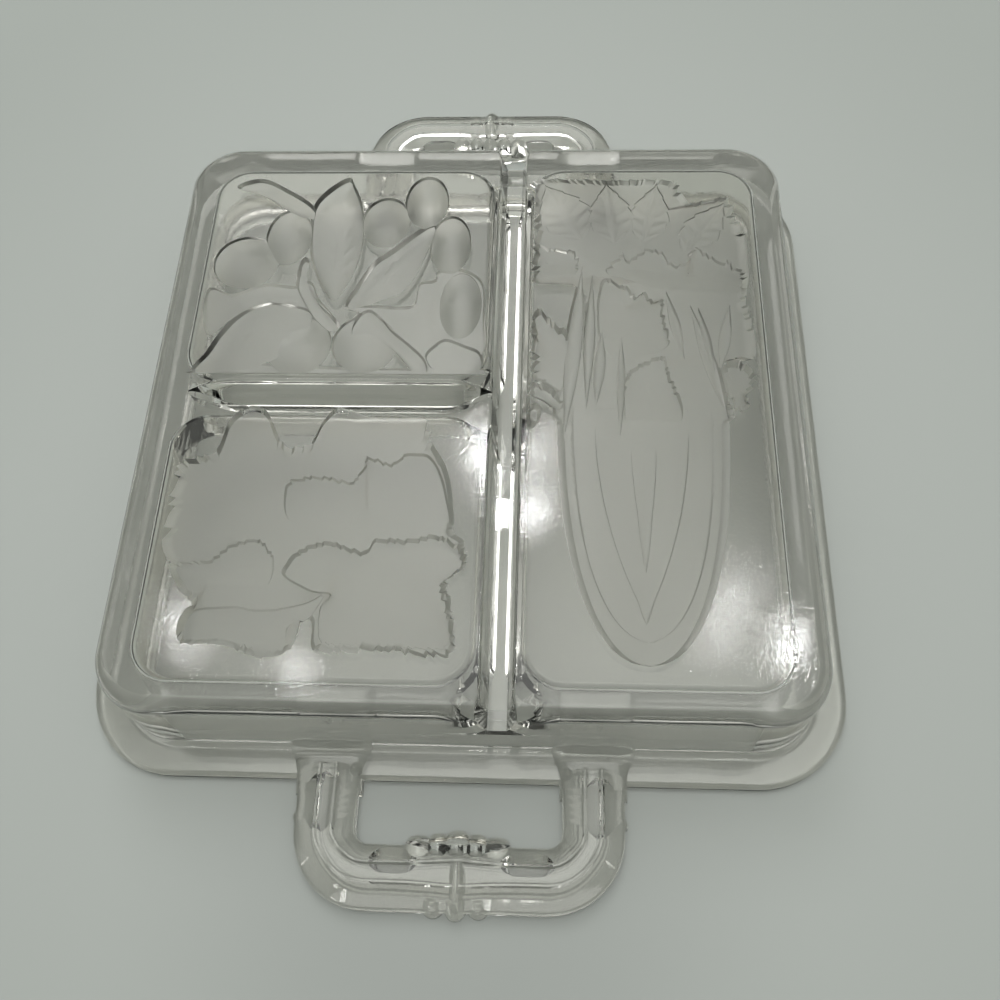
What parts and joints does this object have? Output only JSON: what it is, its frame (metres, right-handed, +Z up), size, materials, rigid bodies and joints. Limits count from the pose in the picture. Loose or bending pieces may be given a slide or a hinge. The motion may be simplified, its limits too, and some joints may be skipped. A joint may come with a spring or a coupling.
{
  "type": "relish tray",
  "caption": "Pressed glass relish tray lying base up: divided square basin, flat rim, hollow dividers, frosted plant intaglio in the base and a loop handle at each end.",
  "frame": {"origin": "centre of the tray on the plane it rests on, which is the face of its rim and the underside of its handles; the tray lies upside down, base up, as in the picture", "axes": "+X across the tray towards the side of the long compartment, +Y from the front handle to the rear handle, +Z up through the base"},
  "size_m": [0.248, 0.33, 0.0385],
  "materials": {
    "clear_glass": "fire-polished clear pressed glass",
    "frosted_glass": "clear glass with frosted recesses"
  },
  "bodies": {
    "root": {"rim": "clear_glass", "basin_wall": "clear_glass", "olive_floor": "frosted_glass", "leaf_floor": "frosted_glass", "celery_floor": "frosted_glass", "long_divider": "clear_glass", "cross_divider": "clear_glass", "front_handle": "clear_glass", "rear_handle": "clear_glass"}
  },
  "joints": []
}
